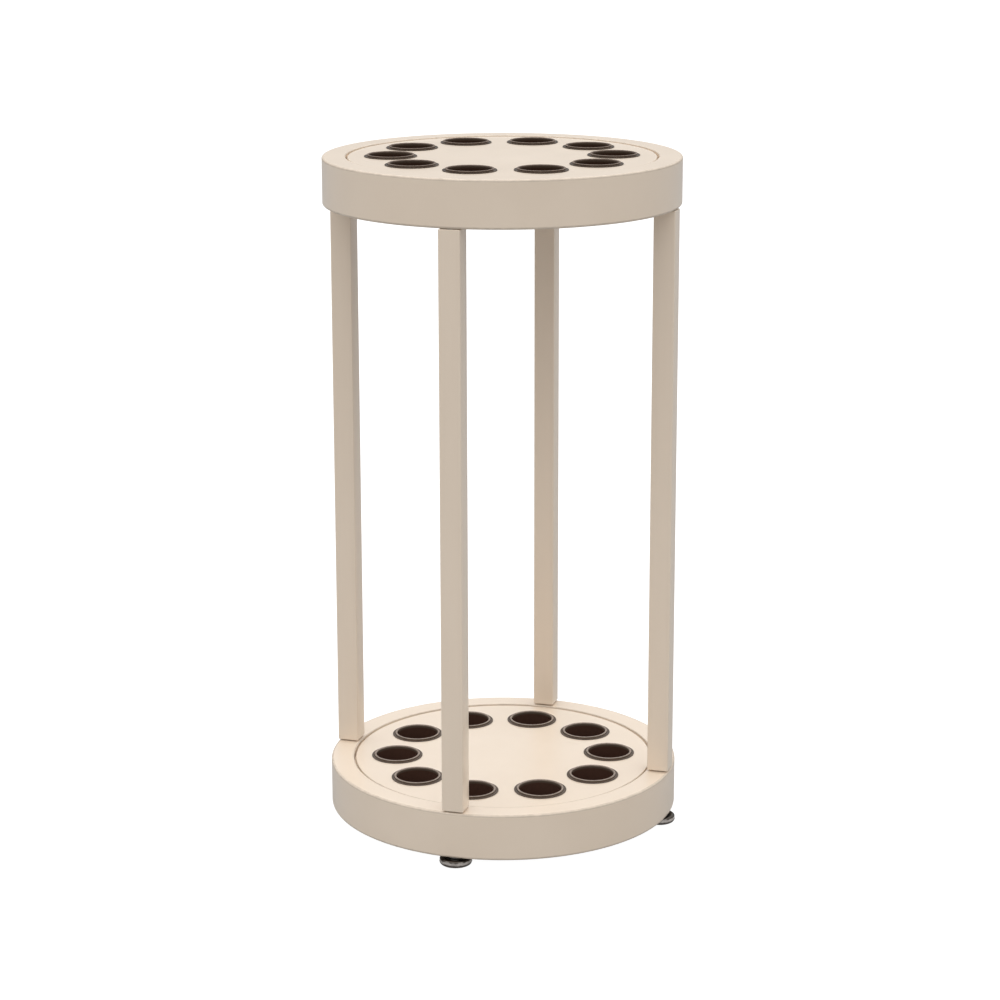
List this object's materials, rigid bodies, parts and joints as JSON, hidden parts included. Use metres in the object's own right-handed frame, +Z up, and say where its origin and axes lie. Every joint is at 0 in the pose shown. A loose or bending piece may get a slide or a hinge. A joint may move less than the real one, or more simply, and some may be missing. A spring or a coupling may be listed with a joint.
{
  "type": "umbrella stand",
  "caption": "Free-standing round umbrella stand: two cream discs on square posts, lined holes above, lift-out drip cups below, screw-in levelling feet.",
  "frame": {"origin": "on the floor, under the centre of the discs, with the levelling feet screwed fully in", "axes": "+Z up along the stand's centre line; the front post is on -Y, with one hole of each disc in line with it; posts also on +X, +Y and -X"},
  "size_m": [0.3906, 0.3906, 0.7294],
  "materials": {
    "cream_lacquer": "smooth satin cream lacquer, grain filled",
    "cream_post_paint": "satin cream paint matched to the discs",
    "brown_liner": "dark brown moulded plastic, soft gloss",
    "zinc_steel": "zinc plated",
    "black_nickel": "polished black nickel"
  },
  "bodies": {
    "stand": {"base_rim": "cream_lacquer", "base_panel": "cream_lacquer", "top_rim": "cream_lacquer", "top_panel": "cream_lacquer", "post_front": "cream_post_paint", "post_right": "cream_post_paint", "post_back": "cream_post_paint", "post_left": "cream_post_paint", "top_sleeve_01": "brown_liner", "top_sleeve_02": "brown_liner", "top_sleeve_03": "brown_liner", "top_sleeve_04": "brown_liner", "top_sleeve_05": "brown_liner", "top_sleeve_06": "brown_liner", "top_sleeve_07": "brown_liner", "top_sleeve_08": "brown_liner", "top_sleeve_09": "brown_liner", "top_sleeve_10": "brown_liner", "tie_rod_front": "zinc_steel", "tie_rod_right": "zinc_steel", "tie_rod_back": "zinc_steel", "tie_rod_left": "zinc_steel", "base_nut_front": "zinc_steel", "base_nut_right": "zinc_steel", "base_nut_back": "zinc_steel", "base_nut_left": "zinc_steel", "top_nut_front": "zinc_steel", "top_nut_right": "zinc_steel", "top_nut_back": "zinc_steel", "top_nut_left": "zinc_steel", "base_panel_screw_1": "zinc_steel", "base_panel_screw_2": "zinc_steel", "base_panel_screw_3": "zinc_steel", "base_panel_screw_4": "zinc_steel", "top_panel_screw_1": "zinc_steel", "top_panel_screw_2": "zinc_steel", "top_panel_screw_3": "zinc_steel", "top_panel_screw_4": "zinc_steel"},
    "drip_cup_01": {"drip_cup_01": "brown_liner"},
    "drip_cup_02": {"drip_cup_02": "brown_liner"},
    "drip_cup_03": {"drip_cup_03": "brown_liner"},
    "drip_cup_04": {"drip_cup_04": "brown_liner"},
    "drip_cup_05": {"drip_cup_05": "brown_liner"},
    "drip_cup_06": {"drip_cup_06": "brown_liner"},
    "drip_cup_07": {"drip_cup_07": "brown_liner"},
    "drip_cup_08": {"drip_cup_08": "brown_liner"},
    "drip_cup_09": {"drip_cup_09": "brown_liner"},
    "drip_cup_10": {"drip_cup_10": "brown_liner"},
    "foot_pad_front": {"foot_pad_front": "black_nickel"},
    "foot_stud_front": {"foot_stud_front": "zinc_steel"},
    "foot_pad_right": {"foot_pad_right": "black_nickel"},
    "foot_stud_right": {"foot_stud_right": "zinc_steel"},
    "foot_pad_back": {"foot_pad_back": "black_nickel"},
    "foot_stud_back": {"foot_stud_back": "zinc_steel"},
    "foot_pad_left": {"foot_pad_left": "black_nickel"},
    "foot_stud_left": {"foot_stud_left": "zinc_steel"}
  },
  "joints": [
    {"name": "drip_cup_01_lift", "type": "slide", "parent": "stand", "child": "drip_cup_01", "axis": [0, 0, 1], "range_m": [0, 0.05]},
    {"name": "drip_cup_02_lift", "type": "slide", "parent": "stand", "child": "drip_cup_02", "axis": [0, 0, 1], "range_m": [0, 0.05]},
    {"name": "drip_cup_03_lift", "type": "slide", "parent": "stand", "child": "drip_cup_03", "axis": [0, 0, 1], "range_m": [0, 0.05]},
    {"name": "drip_cup_04_lift", "type": "slide", "parent": "stand", "child": "drip_cup_04", "axis": [0, 0, 1], "range_m": [0, 0.05]},
    {"name": "drip_cup_05_lift", "type": "slide", "parent": "stand", "child": "drip_cup_05", "axis": [0, 0, 1], "range_m": [0, 0.05]},
    {"name": "drip_cup_06_lift", "type": "slide", "parent": "stand", "child": "drip_cup_06", "axis": [0, 0, 1], "range_m": [0, 0.05]},
    {"name": "drip_cup_07_lift", "type": "slide", "parent": "stand", "child": "drip_cup_07", "axis": [0, 0, 1], "range_m": [0, 0.05]},
    {"name": "drip_cup_08_lift", "type": "slide", "parent": "stand", "child": "drip_cup_08", "axis": [0, 0, 1], "range_m": [0, 0.05]},
    {"name": "drip_cup_09_lift", "type": "slide", "parent": "stand", "child": "drip_cup_09", "axis": [0, 0, 1], "range_m": [0, 0.05]},
    {"name": "drip_cup_10_lift", "type": "slide", "parent": "stand", "child": "drip_cup_10", "axis": [0, 0, 1], "range_m": [0, 0.05]},
    {"name": "foot_front_travel", "type": "slide", "parent": "stand", "child": "foot_pad_front", "axis": [0, 0, -1], "range_m": [0, 0.008]},
    {"name": "foot_front_spin", "type": "hinge", "parent": "foot_pad_front", "child": "foot_stud_front", "pos_m": [0, -0.17815, 0.0117], "axis": [0, 0, -1], "range_deg": [0, 2305]},
    {"name": "foot_right_travel", "type": "slide", "parent": "stand", "child": "foot_pad_right", "axis": [0, 0, -1], "range_m": [0, 0.008]},
    {"name": "foot_right_spin", "type": "hinge", "parent": "foot_pad_right", "child": "foot_stud_right", "pos_m": [0.17815, 0, 0.0117], "axis": [0, 0, -1], "range_deg": [0, 2305]},
    {"name": "foot_back_travel", "type": "slide", "parent": "stand", "child": "foot_pad_back", "axis": [0, 0, -1], "range_m": [0, 0.008]},
    {"name": "foot_back_spin", "type": "hinge", "parent": "foot_pad_back", "child": "foot_stud_back", "pos_m": [0, 0.17815, 0.0117], "axis": [0, 0, -1], "range_deg": [0, 2305]},
    {"name": "foot_left_travel", "type": "slide", "parent": "stand", "child": "foot_pad_left", "axis": [0, 0, -1], "range_m": [0, 0.008]},
    {"name": "foot_left_spin", "type": "hinge", "parent": "foot_pad_left", "child": "foot_stud_left", "pos_m": [-0.17815, 0, 0.0117], "axis": [0, 0, -1], "range_deg": [0, 2305]}
  ],
  "couplings": [
    {"joint": "foot_front_spin", "follows": "foot_front_travel", "rad_per_m": 5026.5},
    {"joint": "foot_right_spin", "follows": "foot_right_travel", "rad_per_m": 5026.5},
    {"joint": "foot_back_spin", "follows": "foot_back_travel", "rad_per_m": 5026.5},
    {"joint": "foot_left_spin", "follows": "foot_left_travel", "rad_per_m": 5026.5}
  ]
}
